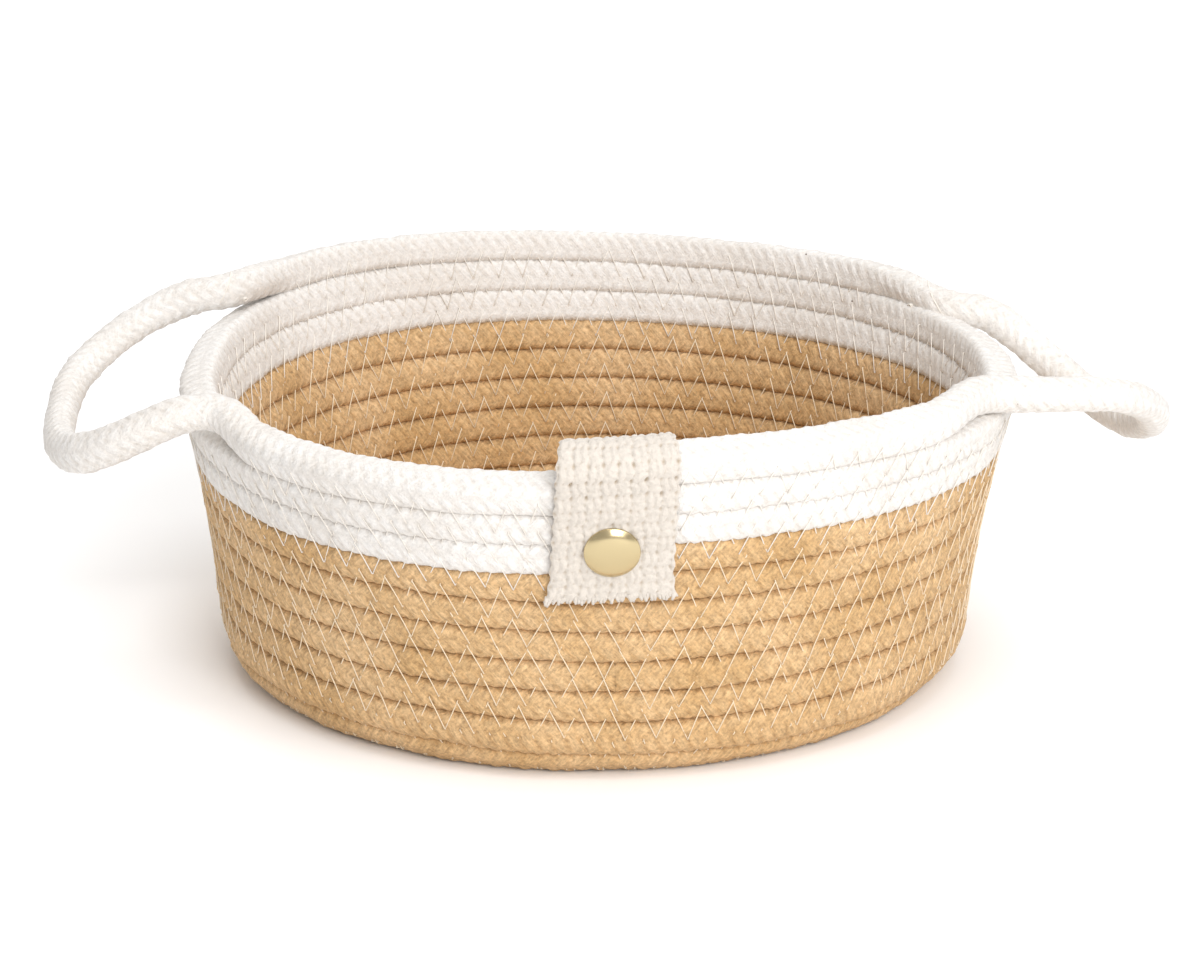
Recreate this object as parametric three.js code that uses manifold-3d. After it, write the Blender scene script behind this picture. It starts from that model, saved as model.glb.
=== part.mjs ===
// Round storage basket coiled from cotton rope.
//
// One tan rope spirals out from the middle of the floor, turns up round the corner and climbs the
// wall. A white rope is butted to its end and makes the last courses. At both sides the top course
// leaves the wall and comes back, and the two free loops are the handles. A folded webbing tab
// covers both rope ends at the front, and a double cap rivet holds it through the wall.
//
// Millimetres. +Z is up, -Y is the front with the tab, the handles are at +X and -X, and the origin
// is on the ground under the middle of the basket and its handles.

import * as THREE from 'three';
import { mergeVertices } from 'three/addons/utils/BufferGeometryUtils.js';
import Module from 'manifold-3d';

const wasm = await Module();
wasm.setup();

// Rope as it lies in the sewn wall: flattened against its neighbours above and below.
const coursePitch = 8.4;
const seamGap = 0.6;
const ropeThroughWall = 9.8;
const groundFlatShare = 0.1;
const stepsPerTurn = 24;

// Axis of the floor and the wall. The handles hang unlike, so it isn't quite in the middle.
const axisX = -2.8;
const axisY = 1.7;

// Shape of the wall, followed by the middle of the rope.
const floorFlatRadius = 86;
const cornerRadius = 9.6;
const footLean = THREE.MathUtils.degToRad(4.5);
const rimLean = THREE.MathUtils.degToRad(15.2);
const flareLength = 68;

// Courses of the spiral, counted where the rope passes the tab.
const floorRadiusAtTab = 83;
const tanCourses = 8;
const whiteCourses = 3;

// A sewn basket is soft, so its rim isn't a true circle: how far each wave moves it.
const rimTiltToRight = 1.3;
const rimTwist = 1.8;
const rimRipple = 1.3;
const rimThreeCorner = 1.0;
const rimSquash = 0.8;

// Handles: free loops of the top course. The rope leaves and meets the wall at these azimuths.
const handleRopeDiameter = 9.2;
const hingeGap = 0.3;
const leftHandle = {
  side: -1,
  reach: 35.9,
  sway: 0.7,
  droop: 18.6,
  twist: 2.1,
  squareness: 2.66,
  dropCurve: 1.19,
  leavesWall: 212,
  firstRoot: 202,
  lastRoot: 154,
  meetsWall: 141,
  firstRise: 3,
  lastRise: 1.1,
  firstStandOff: 9,
  lastStandOff: 9,
  firstLift: 1.6,
  lastLift: 1.6,
};
const rightHandle = {
  side: 1,
  reach: 40,
  sway: -3.6,
  droop: 20.3,
  twist: 19,
  squareness: 1.96,
  dropCurve: 1.25,
  leavesWall: 36,
  firstRoot: 22.5,
  lastRoot: -23.5,
  meetsWall: -40,
  firstRise: -1.8,
  lastRise: 0.4,
  firstStandOff: 10,
  lastStandOff: 9,
  firstLift: 2.1,
  lastLift: 1.6,
};

// Webbing tab, folded over the rim at the front.
const tabWidth = 29.2;
const tabThickness = 1.8;
const tabFlapLength = 35;
const tabClearance = 0.3;
const tabFoldHeight = 5;
const tabSkew = 0.038;

// Double cap rivet through the tab and the wall, in the seam between two courses.
const rivetAboveJoint = coursePitch / 2;
const rivetAside = -1.15;
const rivetCapRadius = 7.05;
const rivetCapHeight = 2.7;
const rivetRimHeight = 0.9;
const rivetPostRadius = 2;
const rivetBackRadius = 6;
const rivetBackHeight = 1.8;
const rivetClearance = 0.3;
const rivetSocketDepth = 1.6;
const roundSegments = 28;

// Values that follow from the ones above.
const tabAzimuth = -90;
const halfThrough = ropeThroughWall / 2;
const halfHigh = (coursePitch - seamGap) / 2;
const floorHeight = halfThrough - groundFlatShare * ropeThroughWall;
const cornerTurn = Math.PI / 2 - footLean;
const cornerLength = cornerRadius * cornerTurn;
const flareRadius = flareLength / (rimLean - footLean);
const firstTurn = -Math.floor(((floorRadiusAtTab - coursePitch / 2) / coursePitch) * stepsPerTurn)
  / stepsPerTurn;
const jointTurn = tanCourses;
const lastTurn = tanCourses + whiteCourses;
const wallLength = floorRadiusAtTab + coursePitch * lastTurn - floorFlatRadius;

// Rope section in the wall: six sides, flat towards the courses above and below.
const wallSection = [
  [halfHigh, halfThrough / 2],
  [halfHigh, -halfThrough / 2],
  [0, -halfThrough],
  [-halfHigh, -halfThrough / 2],
  [-halfHigh, halfThrough / 2],
  [0, halfThrough],
];

// Rope section in a handle: the same six sides on a round rope.
const handleRadius = handleRopeDiameter / 2;
const handleSection = wallSection.map((_, corner) => {
  const angle = (Math.PI / 3) * (corner + 1);
  return [handleRadius * Math.sin(angle), handleRadius * Math.cos(angle)];
});

const materials = {
  tan: { color: 0xd9b480, roughness: 0.9, metalness: 0 },
  white: { color: 0xf7f3ea, roughness: 0.92, metalness: 0 },
  webbing: { color: 0xf1ebdd, roughness: 0.95, metalness: 0 },
  brass: { color: 0xe0cb90, roughness: 0.22, metalness: 1 },
};

// Middle line of the wall at a length measured over floor, corner and flare: its radius, its height
// and the direction that it climbs in. The floor is level, the corner is an arc, and the wall is an
// arc of a much larger circle, so it leans out more and more.
function wallProfile(length) {
  if (length <= floorFlatRadius) {
    return { radius: length, height: floorHeight, heading: 0 };
  }
  const turn = Math.min((length - floorFlatRadius) / cornerRadius, cornerTurn);
  const foot = {
    radius: floorFlatRadius + cornerRadius * Math.sin(turn),
    height: floorHeight + cornerRadius * (1 - Math.cos(turn)),
    heading: turn,
  };
  const up = length - floorFlatRadius - cornerLength;
  if (up <= 0) {
    return foot;
  }
  const heading = cornerTurn - up / flareRadius;
  return {
    radius: foot.radius + flareRadius * (Math.sin(cornerTurn) - Math.sin(heading)),
    height: foot.height + flareRadius * (Math.cos(heading) - Math.cos(cornerTurn)),
    heading,
  };
}

// Point of the wall at a length along the profile, a distance outward from its middle line and an
// azimuth, with the softness of the rim growing from nothing at the floor.
function wallPoint(length, outward, azimuth) {
  const { radius, height, heading } = wallProfile(length);
  const a = THREE.MathUtils.degToRad(azimuth);
  const softness = Math.max(0, (length - floorFlatRadius) / wallLength) ** 1.5;
  const pull = softness * (rimThreeCorner * Math.cos(3 * a) - rimSquash * Math.sin(2 * a));
  const lift = softness
    * (rimRipple * Math.sin(3 * a) - rimTiltToRight * Math.cos(a) - rimTwist * Math.sin(2 * a));
  const r = radius + outward * Math.sin(heading) + pull;
  return new THREE.Vector3(
    axisX + r * Math.cos(a),
    axisY + r * Math.sin(a),
    height - outward * Math.cos(heading) + lift,
  );
}

// The rope climbs one pitch in each turn, clockwise from above, and passes the tab at whole turns.
const lengthAt = (turn) => floorRadiusAtTab + coursePitch * turn;
const azimuthAt = (turn) => tabAzimuth - 360 * turn;
const turnAt = (azimuth, course) => course + (((tabAzimuth - azimuth) % 360) + 360) % 360 / 360;
const courseRing = (turn) => wallSection.map(
  ([high, through]) => wallPoint(lengthAt(turn) + high, through, azimuthAt(turn)),
);

// Rings of a stretch of the spiral, on the same azimuths in every turn so that the flat sides of
// neighbouring courses lie parallel.
function courseRings(fromTurn, toTurn) {
  const rings = [courseRing(fromTurn)];
  const nearEnd = 0.2 / stepsPerTurn;
  for (let step = Math.ceil(fromTurn * stepsPerTurn); step <= toTurn * stepsPerTurn; step += 1) {
    const turn = step / stepsPerTurn;
    if (turn > fromTurn + nearEnd && turn < toTurn - nearEnd) {
      rings.push(courseRing(turn));
    }
  }
  rings.push(courseRing(toTurn));
  return rings;
}

// Closed body from a row of rings: a skin between them and a strip of faces over each end. An end
// with a pole is closed by a fan to that point instead.
function bodyFromRings(rings, startPole, endPole) {
  const sides = rings[0].length;
  const points = rings.flat();
  const faces = [];
  const quad = (a, b, c, d) => faces.push(a, b, c, a, c, d);
  for (let i = 0; i < rings.length - 1; i += 1) {
    for (let j = 0; j < sides; j += 1) {
      const next = (j + 1) % sides;
      quad(i * sides + j, i * sides + next, (i + 1) * sides + next, (i + 1) * sides + j);
    }
  }
  const last = (rings.length - 1) * sides;
  for (let j = 0; j < sides / 2 - 1; j += 1) {
    if (!startPole) {
      quad(j + 1, j, sides - 1 - j, sides - 2 - j);
    }
    if (!endPole) {
      quad(last + j, last + j + 1, last + sides - 2 - j, last + sides - 1 - j);
    }
  }
  [[startPole, 0, 1], [endPole, last, 0]].forEach(([pole, first, atStart]) => {
    if (pole) {
      points.push(pole);
      for (let j = 0; j < sides; j += 1) {
        const here = first + j;
        const next = first + (j + 1) % sides;
        faces.push(points.length - 1, atStart ? next : here, atStart ? here : next);
      }
    }
  });
  const geometry = new THREE.BufferGeometry();
  geometry.setAttribute('position', new THREE.Float32BufferAttribute(
    points.flatMap((p) => [p.x, p.y, p.z]),
    3,
  ));
  geometry.setIndex(faces);
  return facingOut(geometry);
}

// Turns the faces round where they point into the body.
function facingOut(geometry) {
  const index = geometry.getIndex();
  const position = geometry.getAttribute('position');
  const corner = (i) => new THREE.Vector3().fromBufferAttribute(position, index.getX(i));
  let volume = 0;
  for (let i = 0; i < index.count; i += 3) {
    volume += corner(i).dot(corner(i + 1).cross(corner(i + 2)));
  }
  if (volume < 0) {
    geometry.setIndex(Array.from(index.array).reverse());
  }
  return geometry;
}

function toSolid(geometry) {
  const bare = geometry.clone();
  bare.deleteAttribute('normal');
  bare.deleteAttribute('uv');
  const merged = mergeVertices(bare);
  return new wasm.Manifold(new wasm.Mesh({
    numProp: 3,
    vertProperties: new Float32Array(merged.getAttribute('position').array),
    triVerts: new Uint32Array(merged.getIndex().array),
  }));
}

function toGeometry(solid) {
  const { vertProperties, triVerts } = solid.getMesh();
  const geometry = new THREE.BufferGeometry();
  geometry.setAttribute('position', new THREE.Float32BufferAttribute(vertProperties, 3));
  geometry.setIndex(Array.from(triVerts));
  return geometry;
}

// Takes away what lies under the ground plane, which leaves the flats that the floor stands on.
function standFlat(geometry) {
  const depth = ropeThroughWall;
  const side = 4 * floorFlatRadius;
  const under = new THREE.BoxGeometry(side, side, depth).translate(0, 0, -depth / 2);
  return toGeometry(toSolid(geometry).subtract(toSolid(facingOut(mergeVertices(under)))));
}

// Hinge centre of a handle root: out from the top course by the stand-off, at its own height.
function rootPoint(azimuth, rise, standOff) {
  const turn = turnAt(azimuth, lastTurn - 1);
  const a = THREE.MathUtils.degToRad(azimuth);
  return wallPoint(lengthAt(turn), 0, azimuth).add(new THREE.Vector3(
    standOff * Math.cos(a),
    standOff * Math.sin(a),
    rise,
  ));
}

const firstRootOf = ({ firstRoot, firstRise, firstStandOff }) => rootPoint(
  firstRoot,
  firstRise,
  firstStandOff,
);
const lastRootOf = ({ lastRoot, lastRise, lastStandOff }) => rootPoint(
  lastRoot,
  lastRise,
  lastStandOff,
);

// Middle line of a handle from its first root to its last: a rounded D in plan that sways to the
// back or the front, droops with its distance from the wall and is twisted where the two legs droop
// unlike.
class HandleCurve extends THREE.Curve {
  constructor(handle) {
    super();
    this.handle = handle;
    this.first = firstRootOf(handle);
    this.last = lastRootOf(handle);
  }

  getPoint(t, target = new THREE.Vector3()) {
    const {
      side, reach, sway, droop, twist, squareness, dropCurve,
    } = this.handle;
    const angle = Math.PI * (t - 0.5);
    const power = 2 / squareness;
    const along = Math.sign(Math.sin(angle)) * Math.abs(Math.sin(angle)) ** power;
    const out = Math.max(0, Math.cos(angle)) ** power;
    target.lerpVectors(this.first, this.last, (along + 1) / 2);
    target.x += side * reach * out;
    target.y += sway * out;
    target.z += (twist * along - droop) * out ** dropCurve;
    return target;
  }
}

// Ring of rope round a point, square to the way that the rope runs, with its high side upwards.
function ringAt(point, forward, section, size = 1) {
  const across = new THREE.Vector3().crossVectors(forward, new THREE.Vector3(0, 0, 1)).normalize();
  const up = new THREE.Vector3().crossVectors(across, forward).normalize();
  return section.map(([high, side]) => point.clone()
    .addScaledVector(up, high * size)
    .addScaledVector(across, side * size));
}

// Free loop of a handle, with a ball at each end that turns in front of the rope's cut end.
function handleGeometry(handle) {
  const curve = new HandleCurve(handle);
  const outward = new THREE.Vector3(handle.side, 0, 0);
  const ballAngles = [65, 40, 18].map(THREE.MathUtils.degToRad);
  const ballRings = (centre, forward, angles) => angles.map((angle) => ringAt(
    centre.clone().addScaledVector(outward, -handleRadius * Math.sin(angle)),
    forward,
    handleSection,
    Math.cos(angle),
  ));
  const rings = [];
  for (let step = 0; step <= stepsPerTurn; step += 1) {
    const t = (1 - Math.cos((Math.PI * step) / stepsPerTurn)) / 2;
    const forward = step === 0 ? outward.clone()
      : step === stepsPerTurn ? outward.clone().negate()
        : curve.getPoint(t + 1e-4).sub(curve.getPoint(t - 1e-4)).normalize();
    rings.push(ringAt(curve.getPoint(t), forward, handleSection));
  }
  const pole = (centre) => centre.clone().addScaledVector(outward, -handleRadius);
  return bodyFromRings(
    [
      ...ballRings(curve.first, outward, ballAngles),
      ...rings,
      ...ballRings(curve.last, outward.clone().negate(), [...ballAngles].reverse()),
    ],
    pole(curve.first),
    pole(curve.last),
  );
}

// Rings where the top course leaves the wall and bends out to a handle's root. The rope runs from
// its place on the wall to a flat end in front of the ball, square to the way the handle leaves,
// and lifts a little where it crosses the edge of the course below.
function stubRings(azimuth, root, lift, side, sense) {
  const turn = turnAt(azimuth, lastTurn - 1);
  const small = 0.001;
  const start = wallPoint(lengthAt(turn), 0, azimuth);
  const alongWall = wallPoint(lengthAt(turn), 0, azimuth - sense * small).sub(start).normalize();
  const outward = new THREE.Vector3(side, 0, 0);
  const end = root.clone().addScaledVector(outward, -(handleRadius + hingeGap));
  const bend = start.distanceTo(end) / 3;
  const raised = new THREE.Vector3(0, 0, lift);
  const curve = new THREE.CubicBezierCurve3(
    start,
    start.clone().addScaledVector(alongWall, bend).add(raised),
    end.clone().addScaledVector(outward, -bend).add(raised),
    end,
  );
  const wallUp = wallPoint(lengthAt(turn) + 1, 0, azimuth).sub(start);
  const steps = 6;
  const rings = [];
  for (let step = 1; step <= steps; step += 1) {
    const t = step / steps;
    const forward = curve.getTangent(t);
    const up = wallUp.clone().lerp(new THREE.Vector3(0, 0, 1), t);
    const across = new THREE.Vector3().crossVectors(forward, up).normalize();
    const square = new THREE.Vector3().crossVectors(across, forward).normalize();
    rings.push(wallSection.map(([high, through], i) => {
      const [roundHigh, roundThrough] = handleSection[i];
      return curve.getPoint(t)
        .addScaledVector(square, THREE.MathUtils.lerp(high, roundHigh, t))
        .addScaledVector(across, -sense * THREE.MathUtils.lerp(through, roundThrough, t));
    }));
  }
  return rings;
}

// Least distance between one turn and the next, measured over the sides of their sections.
function leastGap(fromTurn, toTurn) {
  const samples = (ring) => ring.flatMap((p, i) => [
    p,
    p.clone().lerp(ring[(i + 1) % ring.length], 0.5),
  ]);
  let least = Infinity;
  for (let step = Math.ceil(fromTurn * stepsPerTurn); step / stepsPerTurn + 1 <= toTurn; step += 1) {
    const inner = samples(courseRing(step / stepsPerTurn));
    const outer = samples(courseRing(step / stepsPerTurn + 1));
    inner.forEach((a) => outer.forEach((b) => {
      least = Math.min(least, a.distanceTo(b));
    }));
  }
  return least;
}

// The tan rope: floor, corner and the lower wall in one piece.
function tanRope() {
  return standFlat(bodyFromRings(courseRings(firstTurn, jointTurn - endGapTurns)));
}

// The white rope from the joint behind the tab to where it leaves the wall for the left handle.
function whiteRope() {
  const { leavesWall, firstLift, side } = leftHandle;
  return bodyFromRings([
    ...courseRings(jointTurn + endGapTurns, turnAt(leavesWall, lastTurn - 1)),
    ...stubRings(leavesWall, firstRootOf(leftHandle), firstLift, side, 1),
  ]);
}

// The top course along the back, between the two handles.
function rimRopeBack() {
  const from = leftHandle;
  const to = rightHandle;
  return bodyFromRings([
    ...stubRings(from.meetsWall, lastRootOf(from), from.lastLift, from.side, -1).reverse(),
    ...courseRings(turnAt(from.meetsWall, lastTurn - 1), turnAt(to.leavesWall, lastTurn - 1)),
    ...stubRings(to.leavesWall, firstRootOf(to), to.firstLift, to.side, 1),
  ]);
}

// The top course from the right handle to the rope's end on top of the wall, under the tab.
function rimRopeFront() {
  const { meetsWall, lastLift, side } = rightHandle;
  return bodyFromRings([
    ...stubRings(meetsWall, lastRootOf(rightHandle), lastLift, side, -1).reverse(),
    ...courseRings(turnAt(meetsWall, lastTurn - 1), lastTurn),
  ]);
}

// Point of the tab: across the front from its middle, on the flat sides that the rope has there. The
// tab sits a little askew, so it shifts aside on its way down.
function tabPoint(length, outward, across) {
  const middle = wallPoint(length, outward, tabAzimuth);
  const side = wallPoint(length, outward, tabAzimuth + Math.sign(across) * (360 / stepsPerTurn));
  const shift = across + tabSkew * (length - lengthAt(lastTurn));
  return across === 0 ? middle : middle.lerp(
    side,
    (Math.sign(across) * shift) / middle.distanceTo(side),
  );
}

// Webbing folded over the rim. Its middle runs up the outside of the wall, over the top course in
// half an ellipse and down the inside.
function tabGeometry() {
  const standOff = halfThrough + tabClearance + tabThickness / 2;
  const top = lengthAt(lastTurn);
  const foldHeight = tabFoldHeight + tabThickness / 2;
  const flapSteps = 6;
  const foldSteps = 10;
  const path = [];
  for (let i = 0; i < flapSteps; i += 1) {
    path.push([top - tabFlapLength * (1 - i / flapSteps), standOff, 1, 0]);
  }
  for (let i = 0; i <= foldSteps; i += 1) {
    const angle = (Math.PI * i) / foldSteps;
    const tilt = Math.hypot(Math.cos(angle) / standOff, Math.sin(angle) / foldHeight);
    path.push([
      top + foldHeight * Math.sin(angle),
      standOff * Math.cos(angle),
      Math.cos(angle) / standOff / tilt,
      Math.sin(angle) / foldHeight / tilt,
    ]);
  }
  for (let i = flapSteps - 1; i >= 0; i -= 1) {
    path.push([top - tabFlapLength * (1 - i / flapSteps), -standOff, -1, 0]);
  }
  const rings = path.map(([length, outward, normalOut, normalUp]) => {
    const face = (offset) => [-tabWidth / 2, 0, tabWidth / 2].map((across) => tabPoint(
      length + offset * normalUp,
      outward + offset * normalOut,
      across,
    ));
    return [...face(tabThickness / 2), ...face(-tabThickness / 2).reverse()];
  });
  return bodyFromRings(rings);
}

// Turned part from a profile of radius and distance along its axis, which starts and ends on it.
function turned(profile) {
  const outline = profile.map(([radius, along]) => new THREE.Vector2(radius, along));
  const lathe = new THREE.LatheGeometry(outline, roundSegments);
  lathe.deleteAttribute('normal');
  lathe.deleteAttribute('uv');
  const merged = mergeVertices(lathe, 1e-5);
  const kept = [];
  const index = Array.from(merged.getIndex().array);
  for (let i = 0; i < index.length; i += 3) {
    const [a, b, c] = index.slice(i, i + 3);
    if (a !== b && b !== c && c !== a) {
      kept.push(a, b, c);
    }
  }
  merged.setIndex(kept);
  return facingOut(merged);
}

// Half the thickness of what the rivet clamps: the wall with a flap of the tab on each side.
const rivetSeat = halfThrough + tabClearance + tabThickness + rivetClearance;

// Front cap: a low dome with a rounded edge and a socket that takes the end of the post.
function rivetCap() {
  const socket = rivetPostRadius + rivetClearance;
  const edge = [];
  const edgeSteps = 3;
  for (let i = 0; i <= edgeSteps; i += 1) {
    const angle = (Math.PI / 2) * (i / edgeSteps);
    edge.push([
      rivetCapRadius - rivetRimHeight * (1 - Math.cos(angle)),
      rivetSeat + rivetRimHeight * Math.sin(angle),
    ]);
  }
  const domeSteps = 5;
  const domeRadius = rivetCapRadius - rivetRimHeight;
  const dome = [];
  for (let i = 1; i < domeSteps; i += 1) {
    const share = i / domeSteps;
    dome.push([
      domeRadius * (1 - share),
      rivetSeat + rivetRimHeight + (rivetCapHeight - rivetRimHeight) * (1 - (1 - share) ** 2),
    ]);
  }
  return turned([
    [0, rivetSeat + rivetSocketDepth],
    [socket, rivetSeat + rivetSocketDepth],
    [socket, rivetSeat],
    ...edge,
    ...dome,
    [0, rivetSeat + rivetCapHeight],
  ]);
}

// Back cap with the post that runs through the wall into the socket of the front cap. Inside the
// basket the cap spans the hollow between two flat sides of the rope, so it stands off by the
// depth of that hollow.
function rivetPost() {
  const tip = rivetSeat + rivetSocketDepth - rivetClearance;
  const back = rivetSeat
    + (rivetBackRadius + Math.abs(rivetAside)) * Math.tan(Math.PI / stepsPerTurn);
  const bevel = 0.5;
  return turned([
    [0, -back - rivetBackHeight],
    [rivetBackRadius - 2 * bevel, -back - rivetBackHeight],
    [rivetBackRadius, -back - rivetBackHeight / 2],
    [rivetBackRadius, -back],
    [rivetPostRadius, -back],
    [rivetPostRadius, tip - bevel],
    [rivetPostRadius - bevel, tip],
    [0, tip],
  ]);
}

// Places a turned part on the wall at the rivet, with its axis square to the wall.
const rivetLength = lengthAt(jointTurn) + rivetAboveJoint;
const rivetAzimuth = tabAzimuth
  + THREE.MathUtils.radToDeg(rivetAside / wallProfile(rivetLength).radius);
const rivetCentre = wallPoint(rivetLength, 0, rivetAzimuth);
const rivetAxis = wallPoint(rivetLength, 1, rivetAzimuth).sub(rivetCentre).normalize();
const rivetTurn = new THREE.Quaternion().setFromUnitVectors(
  new THREE.Vector3(0, 1, 0),
  rivetAxis,
);

// Hole for the post through rope or webbing.
function boredForRivet(geometry) {
  const long = 4 * rivetSeat;
  const drill = new THREE.CylinderGeometry(
    rivetPostRadius + rivetClearance,
    rivetPostRadius + rivetClearance,
    long,
    roundSegments / 2,
  );
  drill.applyQuaternion(rivetTurn).translate(rivetCentre.x, rivetCentre.y, rivetCentre.z);
  return toGeometry(toSolid(geometry).subtract(toSolid(drill)));
}

// The two rope ends meet behind the tab with this gap, as a share of a turn.
const endGapTurns = 0.15 / (2 * Math.PI * wallProfile(lengthAt(jointTurn)).radius);

const basket = new THREE.Group();

function addPiece(name, geometry, material, parent = basket) {
  const mesh = new THREE.Mesh(geometry, new THREE.MeshStandardMaterial(materials[material]));
  mesh.name = name;
  parent.add(mesh);
  return mesh;
}

addPiece('tan_rope', boredForRivet(tanRope()), 'tan');
addPiece('white_rope', boredForRivet(whiteRope()), 'white');
addPiece('handle_left', handleGeometry(leftHandle), 'white');
addPiece('rim_rope_back', rimRopeBack(), 'white');
addPiece('handle_right', handleGeometry(rightHandle), 'white');
addPiece('rim_rope_front', rimRopeFront(), 'white');
addPiece('webbing_tab', boredForRivet(tabGeometry()), 'webbing');

const rivet = new THREE.Group();
rivet.position.copy(rivetCentre);
rivet.quaternion.copy(rivetTurn);
basket.add(rivet);
addPiece('rivet_cap', rivetCap(), 'brass', rivet);
addPiece('rivet_post', rivetPost(), 'brass', rivet);

console.log(`least gap between turns of rope: ${leastGap(firstTurn, lastTurn).toFixed(2)} mm`);

export default basket;
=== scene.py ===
"""Round basket coiled from braided cotton rope, seen as in the photograph.

The sections follow the basket as it is made: the camera and the room, then the tan rope, the white
rope, its handles, the sewing thread, the webbing tab and the rivet. Lengths are in metres.
"""

import bpy
import numpy as np
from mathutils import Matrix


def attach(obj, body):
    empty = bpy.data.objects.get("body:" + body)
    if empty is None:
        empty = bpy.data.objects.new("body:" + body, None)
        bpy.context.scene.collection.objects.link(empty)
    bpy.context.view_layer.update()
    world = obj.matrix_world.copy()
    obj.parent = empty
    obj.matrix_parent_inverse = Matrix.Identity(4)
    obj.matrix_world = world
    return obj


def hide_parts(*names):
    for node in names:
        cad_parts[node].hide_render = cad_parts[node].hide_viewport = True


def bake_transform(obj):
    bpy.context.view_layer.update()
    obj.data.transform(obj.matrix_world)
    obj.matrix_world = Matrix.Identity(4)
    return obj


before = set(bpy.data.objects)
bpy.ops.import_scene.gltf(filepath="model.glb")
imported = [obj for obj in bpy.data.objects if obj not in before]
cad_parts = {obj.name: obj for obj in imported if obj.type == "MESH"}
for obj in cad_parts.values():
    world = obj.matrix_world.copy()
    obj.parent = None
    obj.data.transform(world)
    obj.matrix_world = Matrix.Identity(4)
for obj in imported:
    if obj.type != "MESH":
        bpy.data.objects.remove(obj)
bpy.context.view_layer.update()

# The photographer's place. The basket is seen from a little above through a long lens, with the
# tab almost in the middle. The lens and the shift put the rim and the floor where they are in the
# photograph's frame of 1200 by 960 pixels.
view_turn = np.radians(-3.0)
view_rise = np.radians(18.718)
view_distance = 1.332
aimed_at = np.array([-0.0028, 0.0017, 0.045])
lens_pixels = 4963.75
aimed_pixel = (593.63, 487.09)
frame_pixels = (1200, 960)

towards = np.array([
    np.sin(view_turn) * np.cos(view_rise),
    -np.cos(view_turn) * np.cos(view_rise),
    np.sin(view_rise),
])
camera = bpy.data.cameras.new("photograph")
camera.sensor_width = 36.0
camera.lens = lens_pixels * camera.sensor_width / frame_pixels[0]
camera.shift_x = (frame_pixels[0] / 2 - aimed_pixel[0]) / frame_pixels[0]
camera.shift_y = (aimed_pixel[1] - frame_pixels[1] / 2) / frame_pixels[0]
camera.clip_end = 50.0
photographer = bpy.data.objects.new("photograph", camera)
photographer.location = aimed_at + view_distance * towards
photographer.rotation_euler = (np.pi / 2 - view_rise, 0.0, view_turn)
bpy.context.scene.collection.objects.link(photographer)
bpy.context.scene.camera = photographer
bpy.context.scene.view_settings.view_transform = "Standard"

# The room: a matt white table that runs on past the view, a white sky and four soft lamps. The
# main one stands low in front, a little to the right, as the bright inside at the back shows.
table_half = 4.0
table_drop = 0.0002


def feed(node, inputs):
    """Sets inputs of a node, each to a number or a colour, or links it to an output of another."""
    for socket, value in inputs.items():
        if isinstance(value, bpy.types.NodeSocket):
            node.id_data.links.new(value, node.inputs[socket])
        else:
            node.inputs[socket].default_value = value


def new_material(name):
    """Material with a plain shader, and the list that its nodes go into."""
    material = bpy.data.materials.new(name)
    material.use_nodes = True
    return material, material.node_tree.nodes


corners = np.array([[-1, -1], [1, -1], [1, 1], [-1, 1]]) * table_half
table_mesh = bpy.data.meshes.new("table_top")
table_mesh.from_pydata([(x, y, 0.0) for x, y in corners], [], [(0, 1, 2, 3)])
table = bpy.data.objects.new("table_top", table_mesh)
table.location.z = -table_drop
bpy.context.scene.collection.objects.link(table)
paper, nodes = new_material("white_paper")
feed(nodes["Principled BSDF"], {"Base Color": (0.98, 0.98, 0.98, 1), "Roughness": 0.9})
table_mesh.materials.append(paper)

sky = bpy.data.worlds.new("white_room")
sky.use_nodes = True
feed(sky.node_tree.nodes["Background"], {"Color": (1.0, 0.985, 0.975, 1), "Strength": 0.56})
bpy.context.scene.world = sky

for name, place, size, power, tint in [
    ("window_in_front", (0.4, -1.6, 0.85), 0.8, 16.5, (1.0, 1.0, 1.01)),
    ("window_on_the_right", (0.75, -0.95, 1.05), 0.9, 6.0, (0.98, 1.0, 1.03)),
    ("ceiling", (0.0, -0.5, 1.7), 0.9, 9.0, (1.0, 1.0, 1.0)),
    ("far_ceiling", (0.0, 1.3, 1.5), 1.6, 12.0, (1.0, 1.0, 1.0)),
]:
    lamp = bpy.data.lights.new(name, "AREA")
    lamp.size = size
    lamp.energy = power
    lamp.color = tint
    lamp_object = bpy.data.objects.new(name, lamp)
    lamp_object.location = place
    reach = np.array(place) - aimed_at
    lamp_object.rotation_euler = (
        np.arctan2(np.hypot(reach[0], reach[1]), reach[2]),
        0.0,
        np.arctan2(reach[0], -reach[1]),
    )
    bpy.context.scene.collection.objects.link(lamp_object)

# Tan rope. It is ten millimetres thick, braided from sixteen dyed cotton strands over a soft core.
# It is coiled from the middle of the floor, turned up round the corner and sewn course on course
# up the wall, which flattens each course against the next.
axis_x, axis_y = -0.0028, 0.0017
course_pitch = 0.0084
half_high = 0.00442
half_through = 0.0049
course_squareness = 3.7
floor_flat_radius = 0.086
corner_radius = 0.0096
foot_lean = np.radians(4.5)
rim_lean = np.radians(15.2)
flare_length = 0.068
ground_flat_share = 0.1
ground_gap = 0.0002
floor_radius_at_tab = 0.083
first_turn = -9.63
tan_courses = 8
last_turn = 11
rim_softness = {
    "three_corner": 0.001, "squash": 0.0008, "ripple": 0.0013, "tilt": 0.0013, "twist": 0.0018,
}
strands_each_way = 8
strand_pitch = 0.0037
samples_per_strand = 4

floor_height = half_through * (1 - 2 * ground_flat_share)
corner_turn = np.pi / 2 - foot_lean
corner_length = corner_radius * corner_turn
flare_radius = flare_length / (rim_lean - foot_lean)
wall_length = floor_radius_at_tab + course_pitch * last_turn - floor_flat_radius


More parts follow.
